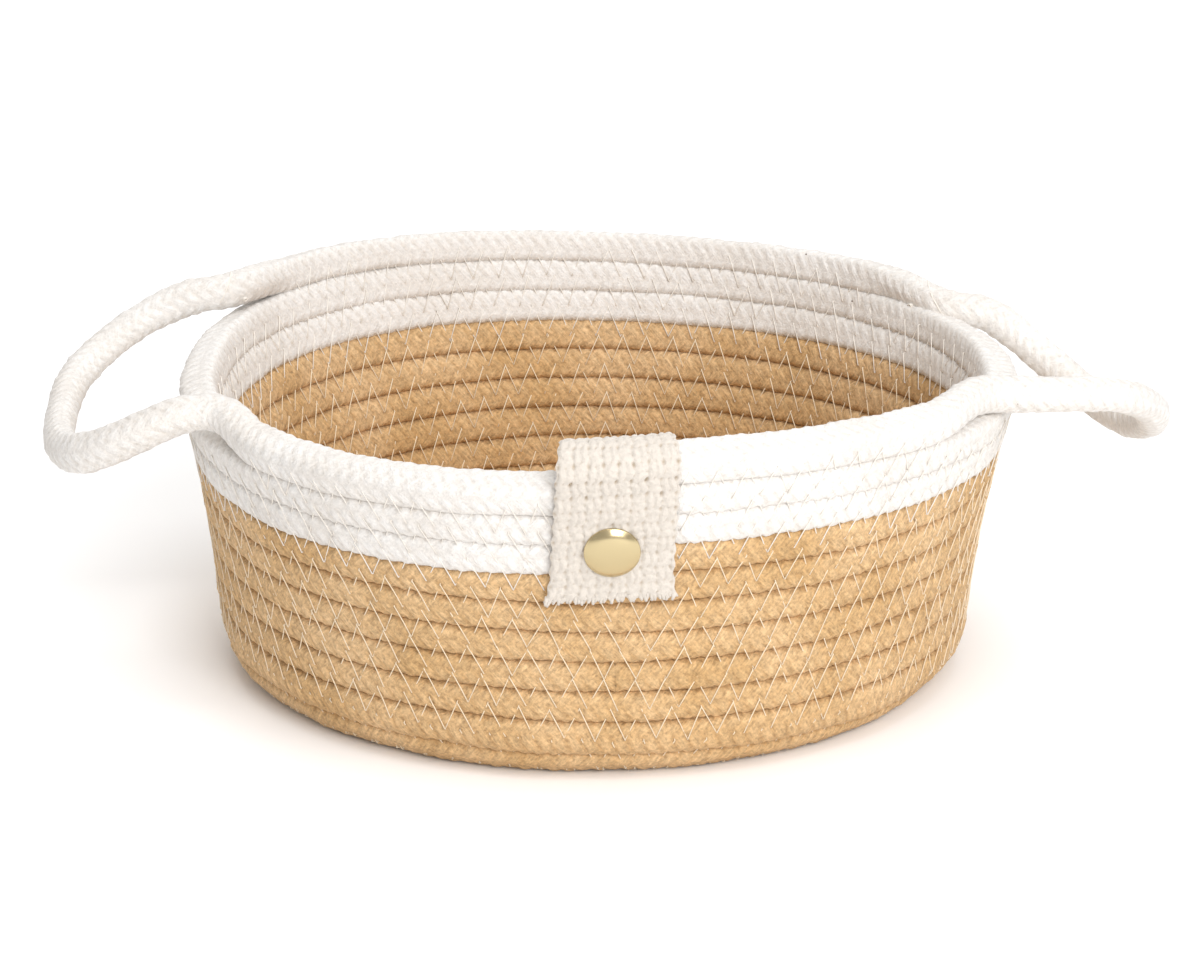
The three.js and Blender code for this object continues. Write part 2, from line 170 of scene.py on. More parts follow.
def wall_profile(length):
    """Radius, height and heading of the wall's middle line at a length measured over it. The floor
    is level, the corner an arc, and the wall an arc of a much larger circle."""
    turn = np.clip((length - floor_flat_radius) / corner_radius, 0, corner_turn)
    up = np.maximum(length - floor_flat_radius - corner_length, 0)
    heading = corner_turn - up / flare_radius
    radius = (
        np.minimum(length, floor_flat_radius)
        + corner_radius * np.sin(turn)
        + flare_radius * (np.sin(corner_turn) - np.sin(heading))
    )
    height = (
        floor_height
        + corner_radius * (1 - np.cos(turn))
        + flare_radius * (np.cos(heading) - np.cos(corner_turn))
    )
    return radius, height, np.where(up > 0, heading, turn)


def wall_point(length, outward, azimuth):
    """Point of the wall at a length over its profile, a distance outward from the middle line and
    an azimuth in radians. Waves of one, two and three periods round the rim make it soft, and grow
    with the power 1.5 of the length from the floor."""
    radius, height, heading = wall_profile(length)
    soft = np.maximum(0, (length - floor_flat_radius) / wall_length) ** 1.5
    pull = soft * (
        rim_softness["three_corner"] * np.cos(3 * azimuth)
        - rim_softness["squash"] * np.sin(2 * azimuth)
    )
    lift = soft * (
        rim_softness["ripple"] * np.sin(3 * azimuth)
        - rim_softness["tilt"] * np.cos(azimuth)
        - rim_softness["twist"] * np.sin(2 * azimuth)
    )
    r = radius + outward * np.sin(heading) + pull
    return np.stack(np.broadcast_arrays(
        axis_x + r * np.cos(azimuth),
        axis_y + r * np.sin(azimuth),
        height - outward * np.cos(heading) + lift,
    ), axis=-1)


def length_at(turn):
    """The rope climbs one pitch in each turn."""
    return floor_radius_at_tab + course_pitch * turn


def azimuth_at(turn):
    """Clockwise from above, past the tab at whole turns."""
    return -np.pi / 2 - 2 * np.pi * turn


def turn_at(degrees, course):
    """Turn at which a course passes an azimuth given in degrees."""
    return course + ((-90 - degrees) % 360) / 360


turn_table = np.linspace(first_turn - 0.2, last_turn + 0.1, 60001)


def run_of(turn_values, high):
    """Distance run along the spiral up to each turn, at a distance above the rope's middle: the sum
    of the circles' shares that it passes."""
    radius = wall_profile(length_at(turn_table) + high)[0]
    steps = np.pi * (radius[1:] + radius[:-1]) * np.diff(turn_table)
    return np.interp(turn_values, turn_table, np.concatenate([[0], np.cumsum(steps)]))


def wander(run, wave, seed):
    """Slow irregular sway, mostly between -1 and 1: three sines whose periods don't fit."""
    phase = np.random.default_rng(seed).uniform(0, 2 * np.pi, 3)
    x = 2 * np.pi * run / wave
    return (np.sin(x + phase[0]) + np.sin(1.71 * x + phase[1]) + np.sin(2.63 * x + phase[2])) / 2


def run_along(points):
    """Distance run along a row of points up to each of them."""
    return np.concatenate([[0], np.cumsum(np.linalg.norm(np.diff(points, axis=0), axis=1))])


def rope_outline(high, through, squareness, around):
    """Points and outward normals of the rope's section, a superellipse, at shares of its girth
    counted from the top over the outer side."""
    angle = np.linspace(0, 2 * np.pi, 4001)
    c, s = np.cos(angle), np.sin(angle)
    h = high * np.sign(c) * np.abs(c) ** (2 / squareness)
    t = through * np.sign(s) * np.abs(s) ** (2 / squareness)
    run = run_along(np.stack([h, t], -1))
    h = np.interp(around, run / run[-1], h)
    t = np.interp(around, run / run[-1], t)
    normal_h = np.sign(h) * np.abs(h / high) ** (squareness - 1) / high
    normal_t = np.sign(t) * np.abs(t / through) ** (squareness - 1) / through
    size = np.hypot(normal_h, normal_t)
    return h, t, normal_h / size, normal_t / size


def braid(along, around):
    """Relief of a braid in which each strand passes over two and under two. Strands of one hand
    lie on whole values of along + n * around, those of the other on along - n * around. Each is
    round across and rises and falls along itself, and the higher of the two shows, with a soft
    change between them. Returns the relief from 0 to 1 and 1 where the first hand is on top."""
    a = along + strands_each_way * around
    b = along - strands_each_way * around
    round_a = 1 - (2 * (a - np.floor(a)) - 1) ** 2
    round_b = 1 - (2 * (b - np.floor(b)) - 1) ** 2
    rise_a = np.cos(np.pi / 2 * (b - np.floor(a)))
    rise_b = np.cos(np.pi / 2 * (a - np.floor(b) - 3))
    height_a = 0.5 * round_a + 0.5 * rise_a * np.abs(rise_a)
    height_b = 0.5 * round_b + 0.5 * rise_b * np.abs(rise_b)
    higher = np.logaddexp(10 * height_a, 10 * height_b) / 10
    return np.clip(higher, 0, 1), (height_a > height_b) * 1.0


relief_change, relief_wave = 0.35, 0.017
plump_change, plump_wave = 0.02, 0.055
sway_reach, sway_wave = 0.00022, 0.083
buried_share = 0.55


def strand_relief(run, relief, raised):
    """Height of the strands over the rope's mean surface: the braid's relief, up to a third
    stronger or weaker along the rope, less the share of it that lies under that surface."""
    return relief * (raised * (1 + relief_change * wander(run, relief_wave, 5)) - buried_share)


def softness(run):
    """Slow changes along the rope: how plump it is, and how far it sways aside in metres."""
    plump = 1 + plump_change * wander(run, plump_wave, 1)
    return plump, sway_reach * wander(run, sway_wave, 2)


stitch_step = 0.0037
stitch_reach = 0.0044
pit_radius = 0.0005
pit_depth = 0.00025


def needle_pits(turn, high):
    """Depth from 0 to 1 of the small hollows that the sewing needle leaves along the middle of a
    course: a bell curve round each stitch end of the seam above and of the seam below."""
    depth = 0
    for seam_turn, end, offset in [(turn, 0.0, -1), (turn - 1, 0.5, 1)]:
        count = run_of(seam_turn, course_pitch / 2) / (2 * stitch_step) - end
        along = (count - np.round(count)) * 2 * stitch_step
        across = high - offset * (stitch_reach - course_pitch / 2)
        depth = depth + np.exp(-(along**2 + across**2) / (2 * pit_radius**2))
    return depth


def put_mesh(name, points, quads, triangles, marks=None, quad_uv=None):
    """Mesh object from arrays of points, four-cornered faces and three-cornered faces. The first
    are shaded smooth, the second, which close the ends, flat. The faces are turned round if the
    volume that they enclose comes out negative. marks are values per point, quad_uv the place of
    each corner of the four-cornered faces in the rope's or cloth's own measure."""
    halves = np.concatenate([quads[:, [0, 1, 2]], quads[:, [0, 2, 3]], triangles])
    p, q, r = (points[halves[:, k]] for k in range(3))
    if np.einsum("ij,ij->", p, np.cross(q, r)) < 0:
        quads, triangles = quads[:, ::-1], triangles[:, ::-1]
        quad_uv = None if quad_uv is None else quad_uv[:, ::-1]
    corners = np.concatenate([quads.ravel(), triangles.ravel()]).astype(np.int32)
    sides = np.repeat([4, 3], [len(quads), len(triangles)])
    starts = (np.cumsum(sides) - sides).astype(np.int32)
    mesh = bpy.data.meshes.new(name)
    mesh.vertices.add(len(points))
    mesh.vertices.foreach_set("co", np.asarray(points, np.float32).ravel())
    mesh.loops.add(len(corners))
    mesh.loops.foreach_set("vertex_index", corners)
    mesh.polygons.add(len(starts))
    mesh.polygons.foreach_set("loop_start", starts)
    mesh.polygons.foreach_set("use_smooth", np.arange(len(starts)) < len(quads))
    if quad_uv is not None:
        layer = mesh.uv_layers.new(name="lay")
        flat = np.zeros((len(corners), 2), np.float32)
        flat[: 4 * len(quads)] = quad_uv.reshape(-1, 2)
        layer.data.foreach_set("uv", flat.ravel())
    for mark, values in (marks or {}).items():
        attribute = mesh.attributes.new(mark, "FLOAT", "POINT")
        attribute.data.foreach_set("value", np.asarray(values, np.float32).ravel())
    mesh.update(calc_edges=True)
    mesh.validate()
    piece = bpy.data.objects.new(name, mesh)
    bpy.context.scene.collection.objects.link(piece)
    return piece


def tube_faces(rings, sides):
    """Faces of a closed tube: four-cornered ones between each ring and the next, and a fan over
    either end round a middle point. The two middle points are numbered after those of the rings."""
    i, j = np.indices((rings - 1, sides))
    k = (j + 1) % sides
    quads = np.stack([i * sides + j, i * sides + k, (i + 1) * sides + k, (i + 1) * sides + j], -1)
    row = np.arange(sides)
    after = (row + 1) % sides
    last = (rings - 1) * sides
    fans = np.concatenate([
        np.stack([np.full(sides, rings * sides), after, row], -1),
        np.stack([np.full(sides, rings * sides + 1), last + row, last + after], -1),
    ])
    return quads.reshape(-1, 4), fans


def rope_skin(name, rings, along, around, marks):
    """Closed skin over a row of rings, whose place in the braid's own measure goes into its UV map
    as the distance along and the share of the girth in strands."""
    steps, rows = rings.shape[:2]
    quads, fans = tube_faces(steps, rows)
    i, j = np.indices((steps - 1, rows))
    strands = strands_each_way * np.append(around, 1.0)
    uv = np.stack([
        along[np.stack([i, i, i + 1, i + 1], -1)], strands[np.stack([j, j + 1, j + 1, j], -1)]
    ], -1)
    points = np.concatenate([rings.reshape(-1, 3), [rings[0].mean(0)], [rings[-1].mean(0)]])
    marks = {key: np.append(value.ravel(), [0.5, 0.5]) for key, value in marks.items()}
    return put_mesh(name, points, quads, fans, marks, uv.reshape(-1, 4, 2))


# Rows of points round the rope. Those beside its top and its bottom are left out where the courses
# above and below hide them.
rope_rows = np.arange(strands_each_way * samples_per_strand)
seen_rows = np.delete(rope_rows, [1, 15, 17, 31])
step_length = strand_pitch / samples_per_strand


def course_rope(name, from_turn, to_turn, relief, high, squareness, open_top=None, round_start=0):
    """Rope sewn into the wall from one turn to another. Its section lies in the wall, sways a
    little, is pitted by the needle and is raised by the braid where it stands out by more than a
    third of its half thickness. It is pressed flat on the ground. open_top gives how far the
    course's top shows at each turn, from 0 to 1. round_start is the length of a rounded end, whose
    sections shrink with the cosine and move back with the sine of an angle up to 85 degrees."""
    first, last = (np.round(run_of(t, 0.0) / step_length) for t in (from_turn, to_turn))
    run = (np.arange(first, last + 1) * step_length)[:, None]
    turn = np.interp(run, run_of(turn_table, 0.0), turn_table)
    around = (seen_rows if open_top is None else rope_rows) / len(rope_rows)
    high, through, normal_high, normal_through = rope_outline(
        high, half_through, squareness, around
    )
    shown = np.clip((np.abs(through) / half_through - 0.35) / 0.4, 0, 1)
    pitted = shown
    if open_top is not None:
        shown = np.where(high > 0, np.maximum(shown, open_top(turn)), shown)
    raised, first_hand = braid(run / strand_pitch, around)
    pits = needle_pits(turn, high) * pitted
    grown = shown * strand_relief(run, relief, raised) - pit_depth * pits
    plump, sway = softness(run)
    rings = wall_point(
        length_at(turn) + high * plump + normal_high * grown,
        through + sway + normal_through * grown,
        azimuth_at(turn),
    )
    rings[..., 2] = np.maximum(rings[..., 2], ground_gap)
    # The needle pits lower the relief mark, so that the material paints shade in them as in the
    # braid's hollows.
    marks = {"raised": raised - 0.4 * pits, "first_hand": first_hand}
    if round_start:
        middle = rings[0].mean(0)
        back = middle - rings[1].mean(0)
        back = back / np.linalg.norm(back) * round_start
        bend = np.radians(np.linspace(85, 8, 10))[:, None, None]
        end = middle + (rings[0] - middle) * np.cos(bend) + back * np.sin(bend)
        rings = np.concatenate([end, rings])
        run = np.concatenate([run[0] - round_start * np.sin(bend[:, :, 0]), run])
        marks = {
            key: np.concatenate([np.repeat(value[:1], len(bend), axis=0), value])
            for key, value in marks.items()
        }
    return rope_skin(name, rings, run[:, 0] / strand_pitch, around, marks)


def add(nodes, kind, inputs, **settings):
    """Adds a node of a kind with its settings and what goes into it, and returns its outputs."""
    node = nodes.new("ShaderNode" + kind)
    for setting, value in settings.items():
        setattr(node, setting, value)
    feed(node, inputs)
    return node.outputs


def noise(nodes, place, scale, detail, roughness=0.5):
    """Cloudy value about 0.5, by how many clouds there are to a unit and how many finer layers."""
    inputs = {"Vector": place, "Scale": scale, "Detail": detail, "Roughness": roughness}
    return add(nodes, "TexNoise", inputs)["Fac"]


def map_range(nodes, value, start, stop, low=0.0, high=1.0):
    """Value that runs from low to high while another runs from start to stop."""
    inputs = {"Value": value, "From Min": start, "From Max": stop, "To Min": low, "To Max": high}
    return add(nodes, "MapRange", inputs)[0]


def mix_colours(nodes, share, first, second, **settings):
    """Colour between two by a share from 0 to 1. The node's own colours are inputs 6 and 7."""
    inputs = {"Factor": share, 6: first, 7: second}
    return add(nodes, "Mix", inputs, data_type="RGBA", **settings)[2]


def cotton_rope_material(name, light, dark, painted_shade_colour, mottle, specks, sheen):
    """Braided cotton. Colour wanders between two tones over centimetres, carries painted shade in
    the hollows of the braid and in the needle pits, and carries fine yarn streaks along each strand
    and a crumpled grain, as strong as mottle says. Where specks is above 0, a few bits of seed husk
    are left in the yarn."""
    material, nodes = new_material(name)
    lay = add(nodes, "SeparateXYZ", {0: add(nodes, "UVMap", {}, uv_map="lay")["UV"]})
    both = {0: lay["X"], 1: lay["Y"]}
    total = add(nodes, "Math", both, operation="ADD")[0]
    difference = add(nodes, "Math", both, operation="SUBTRACT")[0]
    streaks = []
    for across, along in ((total, difference), (difference, total)):
        strand = add(nodes, "CombineXYZ", {"X": across, "Y": along})[0]
        strand = add(nodes, "Mapping", {"Vector": strand, "Scale": (4.5, 0.7, 1.0)})[0]
        streaks.append(noise(nodes, strand, 1.0, 3.0, 0.6))
    hand = add(nodes, "Attribute", {}, attribute_name="first_hand")["Fac"]
    yarns = add(nodes, "Mix", {"Factor": hand, "A": streaks[1], "B": streaks[0]})[0]

    place = add(nodes, "TexCoord", {})["Object"]
    tone = map_range(nodes, noise(nodes, place, 45.0, 3.0), 0.35, 0.65)
    colour = mix_colours(nodes, tone, (*dark, 1), (*light, 1))
    raised = add(nodes, "Attribute", {}, attribute_name="raised")["Fac"]
    # Painted shade: the colour is drawn a little towards the shade colour where the braid's relief
    # mark is low, in its hollows and in the needle pits.
    hollow = map_range(nodes, raised, 0.1, 0.75, 0.4, 0.0)
    colour = mix_colours(nodes, hollow, colour, (*painted_shade_colour, 1))
    grain = noise(nodes, place, 1100.0, 3.0, 0.65)
    fibres = add(nodes, "Mix", {"Factor": 0.55, "A": yarns, "B": grain})[0]
    shade = map_range(nodes, fibres, 0.36, 0.64, 1 - mottle, 1 + 0.8 * mottle)
    colour = mix_colours(nodes, 1.0, colour, shade, blend_type="MULTIPLY")
    if specks:
        cells = add(nodes, "TexVoronoi", {"Vector": place, "Scale": 260.0})
        small = add(nodes, "Math", {0: cells["Distance"], 1: 0.065}, operation="LESS_THAN")[0]
        drawn = add(nodes, "SeparateColor", {0: cells["Color"]})[0]
        few = add(nodes, "Math", {0: drawn, 1: 1 - specks}, operation="GREATER_THAN")[0]
        husk = add(nodes, "Math", {0: small, 1: few}, operation="MULTIPLY")[0]
        colour = mix_colours(nodes, husk, colour, (0.10, 0.055, 0.03, 1))

    streaky = add(nodes, "Bump", {"Height": yarns, "Strength": 0.6, "Distance": 0.0004})[0]
    crumpled = {"Height": grain, "Strength": 0.6, "Distance": 0.0005, "Normal": streaky}
    feed(nodes["Principled BSDF"], {
        "Base Color": colour, "Normal": add(nodes, "Bump", crumpled)[0], "Roughness": 0.92,
        "Specular IOR Level": 0.2, "Sheen Weight": sheen, "Sheen Roughness": 0.6,
    })
    return material


tan_relief = 0.00046
# The third colour of each rope is the painted shade in the hollows of its braid.
tan_cotton = cotton_rope_material(
    "tan_cotton_braid", light=(0.65, 0.442, 0.24), dark=(0.55, 0.35, 0.164),
    painted_shade_colour=(0.34, 0.175, 0.055), mottle=0.36, specks=0.0, sheen=0.05,
)
for name, from_turn, to_turn, round_start in [
    ("tan_rope_floor", first_turn, 0.0, 0.0043),
    ("tan_rope_foot", 0.0, 4.0, 0),
    ("tan_rope_wall", 4.0, tan_courses, 0),
]:
    piece = course_rope(
        name, from_turn, to_turn, tan_relief, half_high, course_squareness, round_start=round_start
    )
    piece.data.materials.append(tan_cotton)
    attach(piece, "basket")
    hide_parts("tan_rope")

# White rope. It is the same braided rope undyed, butted to the tan one behind the tab. Two full
# courses are sewn all round. The third is the rim, and where that is away from the wall as a
# handle, the top of the second shows.
handles = {
    "left": {
        "side": -1, "reach": 0.0359, "sway": 0.0007, "droop": 0.0186, "twist": 0.0021,
        "squareness": 2.66, "drop_curve": 1.19, "leaves": 212, "meets": 141,
        "roots": [(202, 0.003, 0.009), (154, 0.0011, 0.009)], "lifts": (0.0016, 0.0016),
    },
    "right": {
        "side": 1, "reach": 0.040, "sway": -0.0036, "droop": 0.0189, "twist": 0.0182,
        "squareness": 1.96, "drop_curve": 1.25, "leaves": 36, "meets": -40,
        "roots": [(22.5, -0.0034, 0.010), (-23.5, 0.0004, 0.009)], "lifts": (0.0006, 0.0016),
    },
}
white_relief = 0.00048
white_high = 0.00468
white_squareness = 4.7
# The third colour of each rope is the painted shade in the hollows of its braid.
white_cotton = cotton_rope_material(
    "white_cotton_braid", light=(0.78, 0.755, 0.725), dark=(0.73, 0.695, 0.655),
    painted_shade_colour=(0.57, 0.50, 0.42), mottle=0.13, specks=0.035, sheen=0.1,
)


def top_shows(turn):
    """How far the top of the second white course shows: from 0 to 1 over 8 degrees at each place
    where the rim leaves or meets the wall."""
    shown = 0
    for handle in handles.values():
        start = turn_at(handle["leaves"], last_turn - 2)
        end = turn_at(handle["meets"], last_turn - 2)
        shown = shown + np.clip(np.minimum(turn - start, end - turn) / (8 / 360) + 0.5, 0, 1)
    return shown


piece = course_rope(
    "white_rope_courses", tan_courses, last_turn - 1, white_relief, white_high, white_squareness,
    top_shows,
)
piece.data.materials.append(white_cotton)
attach(piece, "basket")
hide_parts("white_rope")

# Rim and handles. The third white course lies on the second and leaves it at both sides as a free
# loop, which droops under its own weight and comes back on. Its end is hidden under the tab, on top
# of its own beginning. The loops are oval, because the rope is squeezed flat in the wall.
handle_radius = 0.0046
loop_squareness = 2.1
hinge_gap = 0.0003
hidden_end = 0.0095
girth_shares = [0.0, 0.25, 0.5, 0.75, 1.0]
loop_girths = {
    "left": ([0.0048, 0.0054, 0.0045, 0.0040, 0.0048], [0.0048, 0.0043, 0.0041, 0.0050, 0.0049]),
    "right": ([0.0046, 0.0048, 0.0045, 0.0042, 0.0048], [0.0047, 0.0045, 0.0043, 0.0050, 0.0047]),
}


def root_point(azimuth, rise, stand_off):
    """Place where a handle turns: out from the rim course by the stand-off, and raised."""
    at = np.radians(azimuth)
    out = np.array([stand_off * np.cos(at), stand_off * np.sin(at), rise])
    return wall_point(length_at(turn_at(azimuth, last_turn - 1)), 0.0, at) + out


def stub_route(azimuth, root, lift, side, sense, share):
    """Rope from the wall to a handle's root: a cubic with its ends along the wall and along the
    loop's own way out, lifted a little where it crosses the course below."""
    turn = turn_at(azimuth, last_turn - 1)
    at = np.radians(azimuth)
    start = wall_point(length_at(turn), 0.0, at)
    ahead = wall_point(length_at(turn), 0.0, at - sense * np.radians(0.01)) - start
    ahead /= np.linalg.norm(ahead)
    outward = np.array([side, 0.0, 0.0])
    end = root - outward * (handle_radius + hinge_gap)
    bend = np.linalg.norm(end - start) / 3
    lift = np.array([0.0, 0.0, lift])
    a, b, c, d = start, start + ahead * bend + lift, end - outward * bend + lift, end
    t = share[:, None]
    return (1 - t) ** 3 * a + 3 * (1 - t) ** 2 * t * b + 3 * (1 - t) * t**2 * c + t**3 * d


def loop_route(handle, share):
    """Free loop: a superellipse between the roots in plan, which sways to the back or the front,
    droops with a power of its way out and is twisted where one leg droops more than the other."""
    first, last = (root_point(*root) for root in handle["roots"])
    angle = np.pi * (share - 0.5)
    along = np.sign(np.sin(angle)) * np.abs(np.sin(angle)) ** (2 / handle["squareness"])
    out = np.maximum(0, np.cos(angle)) ** (2 / handle["squareness"])
    points = first + (last - first) * ((along + 1) / 2)[:, None]
    points[:, 0] += handle["side"] * handle["reach"] * out
    points[:, 1] += handle["sway"] * out
    points[:, 2] += (handle["twist"] * along - handle["droop"]) * out ** handle["drop_curve"]
    return points


def smoothed(values, spread):
    """Values in equal steps blurred with a bell curve of that many steps, ends held."""
    reach = int(4 * spread)
    bell = np.exp(-np.arange(-reach, reach + 1) ** 2 / (2 * spread**2))
    bell /= bell.sum()
    padded = np.pad(values, ((reach, reach), (0, 0)), "edge")
    return np.stack([np.convolve(column, bell, "valid") for column in padded.T], -1)


# The route is put together from three stretches on the wall and two loops with their stubs, each
# point with its way up and its girth: 1 for the wall's section or 0 for a loop's, and half its
# height and half its width.
fine = 0.0005
margin = 0.06
rim_turn_length = 0.7
stub_stops = 50
loop_stops = 500
girth_blur, route_blur = 9, 6
route, upright, girths = [], [], []
turn_stops = [last_turn - 1 - margin]
for handle in handles.values():
    turn_stops += [turn_at(handle[key], last_turn - 1) for key in ("leaves", "meets")]
turn_stops.append(last_turn + margin)
for begin, stop, name in zip(turn_stops[::2], turn_stops[1::2], ["left", "right", None]):
    turn = np.linspace(begin, stop, int((stop - begin) * rim_turn_length / fine))
    here = wall_point(length_at(turn), 0.0, azimuth_at(turn))
    above = wall_point(length_at(turn) + 0.001, 0.0, azimuth_at(turn))
    route.append(here)
    upright.append((above - here) / 0.001)
    girths.append(np.tile([1.0, half_high, half_through], (len(turn), 1)))
    if name is None:
        break
    handle = handles[name]
    roots = [root_point(*root) for root in handle["roots"]]
    lifts, side = handle["lifts"], handle["side"]
    share = np.linspace(0.02, 1, stub_stops)
    loop_share = (1 - np.cos(np.linspace(0, np.pi, loop_stops))) / 2
    for points, at in [
        (stub_route(handle["leaves"], roots[0], lifts[0], side, 1, share), 0 * share),
        (loop_route(handle, loop_share), loop_share),
        (stub_route(handle["meets"], roots[1], lifts[1], side, -1, share[::-1]), 0 * share + 1),
    ]:
        route.append(points)
        upright.append(np.tile([0.0, 0.0, 1.0], (len(points), 1)))
        halves = [np.interp(at, girth_shares, values) for values in loop_girths[name]]
        girths.append(np.stack([0 * at, *halves], -1))
route, upright, girths = (np.concatenate(values) for values in (route, upright, girths))


def read_along(run, values, places):
    """Values given at distances run along a route, read at other distances along it."""
    return np.stack([np.interp(places, run, column) for column in values.T], -1)


def place_of(turn):
    """Distance along the route at which it passes the wall's own point of a turn."""
    away = route - wall_point(length_at(turn), 0.0, azimuth_at(turn))
    return np.argmin(np.linalg.norm(away, axis=1)) * fine


run = run_along(route)
places = np.arange(0, run[-1], fine)
upright, girths = (smoothed(read_along(run, v, places), girth_blur) for v in (upright, girths))
route = smoothed(read_along(run, route, places), route_blur)

# The rings start where the sewn courses end, a whole number of samples along, so that the braid
# runs on without a step.
first_count = np.round(run_of(last_turn - 1, 0.0) / step_length)
offset = first_count * step_length - run_of(last_turn - 1, 0.0)
end_place = place_of(last_turn) + hidden_end
rim_run = np.arange(place_of(last_turn - 1) + offset, end_place, step_length)
run = run_along(route)
rim_route, rim_upright, rim_girth = (read_along(run, v, rim_run) for v in (route, upright, girths))
rim_count = first_count + np.arange(len(rim_run))
ahead = np.gradient(rim_route, axis=0)
ahead /= np.linalg.norm(ahead, axis=1)[:, None]
aside = np.cross(rim_upright, ahead)
aside /= np.linalg.norm(aside, axis=1)[:, None]
above = np.cross(ahead, aside)

around = rope_rows / len(rope_rows)
on_wall = rope_outline(1.0, 1.0, white_squareness, around)
in_loop = rope_outline(1.0, 1.0, loop_squareness, around)
wall_share = np.clip(rim_girth[:, :1], 0, 1)
high, through, normal_high, normal_through = (
    wall_share * a + (1 - wall_share) * b for a, b in zip(on_wall, in_loop)
)
high, through = high * rim_girth[:, 1:2], through * rim_girth[:, 2:3]
underside = np.clip((-on_wall[0] - 0.55) / 0.3, 0, 1) * wall_share
run = rim_count[:, None] * step_length
raised, first_hand = braid(run / strand_pitch, around)
grown = (1 - underside) * strand_relief(run, white_relief, raised)
plump, sway = softness(run)
rim_rings = (
    rim_route[:, None]
    + above[:, None] * (high * plump + normal_high * grown)[..., None]
    + aside[:, None] * (through + sway + normal_through * grown)[..., None]
)

# The rim is cut into five stretches. Those of the handles reach on to the wall at both ends. All
# are shaded by the directions of the whole rim's surface, so that the cuts don't show.
facing = np.cross(
    np.roll(rim_rings, -1, axis=1) - np.roll(rim_rings, 1, axis=1), np.gradient(rim_rings, axis=0)
)
facing /= np.linalg.norm(facing, axis=2)[..., None]
facing *= np.sign(np.einsum("ijk,ijk->ij", facing, rim_rings - rim_route[:, None]))[..., None]
azimuths = np.degrees(np.arctan2(rim_route[:, 1] - axis_y, rim_route[:, 0] - axis_x))


def ring_at(azimuth):
    """Ring of the rim that lies nearest to an azimuth in degrees."""
    return int(np.argmin(np.abs((azimuths - azimuth + 180) % 360 - 180)))


cut_from_loop = 12
cuts = [0]
for handle in handles.values():
    cuts += [ring_at(handle["leaves"] + cut_from_loop), ring_at(handle["meets"] - cut_from_loop)]
cuts.append(len(rim_rings) - 1)
hinge_reach = {"left": (-0.0998, -0.1218), "right": (0.0965, 0.1185)}
for part, (name, node, loop) in enumerate([
    ("rim_rope_start", "white_rope", None),
    ("handle_left_rope", "handle_left", "left"),
    ("rim_rope_rear", "rim_rope_back", None),
    ("handle_right_rope", "handle_right", "right"),
    ("rim_rope_end", "rim_rope_front", None),
]):
    at = slice(cuts[part], cuts[part + 1] + 1)
    marks = {"raised": raised[at], "first_hand": first_hand[at]}
    piece = rope_skin(name, rim_rings[at], rim_count[at] / samples_per_strand, around, marks)
    ends = [-ahead[cuts[part]], ahead[cuts[part + 1]]]
    piece.data.normals_split_custom_set_from_vertices(
        np.concatenate([facing[at].reshape(-1, 3), ends]).tolist()
    )
    piece.data.materials.append(white_cotton)
    if loop is None:
        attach(piece, "basket")
    else:
        height = float(root_point(*handles[loop]["roots"][0])[2])
        start, end = hinge_reach[loop]
        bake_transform(piece)
    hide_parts(node)

# Sewing thread. A wide zigzag of fine cotton, cream through the tan rope and undyed through the
# white, joins each course to the next. Its legs lie tight from crown to crown, every other one sunk
# deeper into the soft rope, and the under thread shows the same way inside.
thread_radius = 0.00015
thread_sides = 5
thread_stops = 5
tight_leg, sunk_leg = 0.00014, -0.0002
leg_sag = 0.00012
end_depth = 0.0007
crown_pull = 0.93
thread_ground_gap = 0.00018
uneven_along, uneven_across, uneven_out = 0.0004, 0.00045, 0.00005
seam_begins_after = 0.85
unsewn_margin = 0.002


def threads(name, routes, outward, radius, sides):
    """Round threads laid along many short routes at once: at each point a ring square to the
    route, and a fan over each end. outward is one direction for each route, away from what it
    lies on."""
    count, stops = routes.shape[:2]
    ahead = np.gradient(routes, axis=1)
    ahead /= np.linalg.norm(ahead, axis=2)[..., None]
    aside = np.cross(ahead, outward[:, None])
    aside /= np.linalg.norm(aside, axis=2)[..., None]
    above = np.cross(aside, ahead)
    angle = 2 * np.pi * np.arange(sides) / sides
    radius = np.broadcast_to(radius, (count, stops))[..., None, None]
    rings = routes[:, :, None] + radius * (
        np.cos(angle)[:, None] * aside[:, :, None] + np.sin(angle)[:, None] * above[:, :, None]
    )
    points = np.concatenate([
        rings.reshape(count, stops * sides, 3), routes[:, :1], routes[:, -1:]
    ], axis=1)
    quads, fans = tube_faces(stops, sides)
    start = (np.arange(count) * (stops * sides + 2))[:, None, None]
    quads, fans = (quads + start).reshape(-1, 4), (fans + start).reshape(-1, 3)
    # Every point is marked as fully raised, so that a material that paints shade in hollows leaves
    # the threads and tufts unshaded.
    return put_mesh(
        name, points.reshape(-1, 3), quads, fans, {"raised": np.ones(points.shape[:2])}
    )


def thread_material(name, colour):
    """Twisted cotton sewing thread, a little glossier than the rope."""
    material, nodes = new_material(name)
    cloud = noise(nodes, add(nodes, "TexCoord", {})["Object"], 900.0, 2.0)
    dark, light = ((*[share * c for c in colour], 1) for share in (0.86, 1.1))
    tone = mix_colours(nodes, cloud, dark, light)
    feed(nodes["Principled BSDF"], {"Base Color": tone, "Roughness": 0.6, "Sheen Weight": 0.2})
    return material


